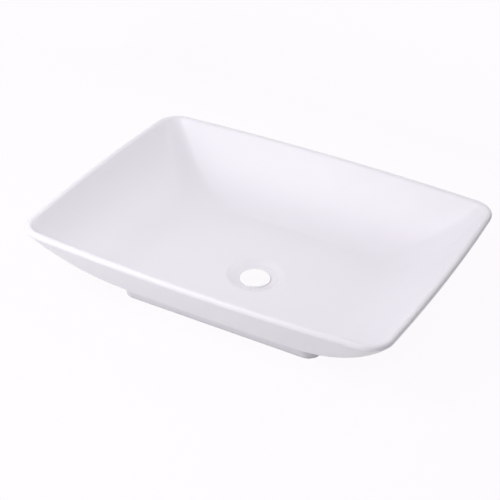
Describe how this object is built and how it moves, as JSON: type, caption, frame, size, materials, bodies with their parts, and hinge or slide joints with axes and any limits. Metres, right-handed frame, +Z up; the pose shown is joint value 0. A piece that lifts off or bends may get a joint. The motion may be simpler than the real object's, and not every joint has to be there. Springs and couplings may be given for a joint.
{
  "type": "countertop basin",
  "caption": "Rectangular white ceramic countertop basin with bowed sides, rounded rim and low foot, and a white push-to-close waste.",
  "frame": {"origin": "in the plane of the counter, under the middle of the rim", "axes": "+Z up, +X along the length, -Y to the front"},
  "size_m": [0.56, 0.42, 0.17],
  "materials": {
    "glaze": "glossy white glaze",
    "white_coat": "gloss white coat on brass",
    "white_cap": "gloss white coat on brass",
    "soft_rubber": "pale soft rubber",
    "black_rubber": "black rubber",
    "nylon": "natural nylon",
    "plated_brass": "nickel plated brass",
    "bare_brass": "turned brass",
    "spring_steel": "stainless wire",
    "acetal": "white acetal"
  },
  "bodies": {
    "basin": {"basin_body": "glaze", "waste_body": "white_coat", "flange_gasket": "soft_rubber", "under_gasket": "black_rubber", "slip_washer": "nylon", "back_nut": "plated_brass", "cartridge_sleeve": "bare_brass", "cartridge_spring": "spring_steel"},
    "plug": {"latch_ring": "acetal", "plug_stem": "bare_brass", "plug_cap": "white_cap", "plug_seal": "soft_rubber"}
  },
  "joints": [
    {"name": "plug_travel", "type": "slide", "parent": "basin", "child": "plug", "axis": [0, 0, 1], "range_m": [0, 0.008], "deforming": ["cartridge_spring"]}
  ]
}
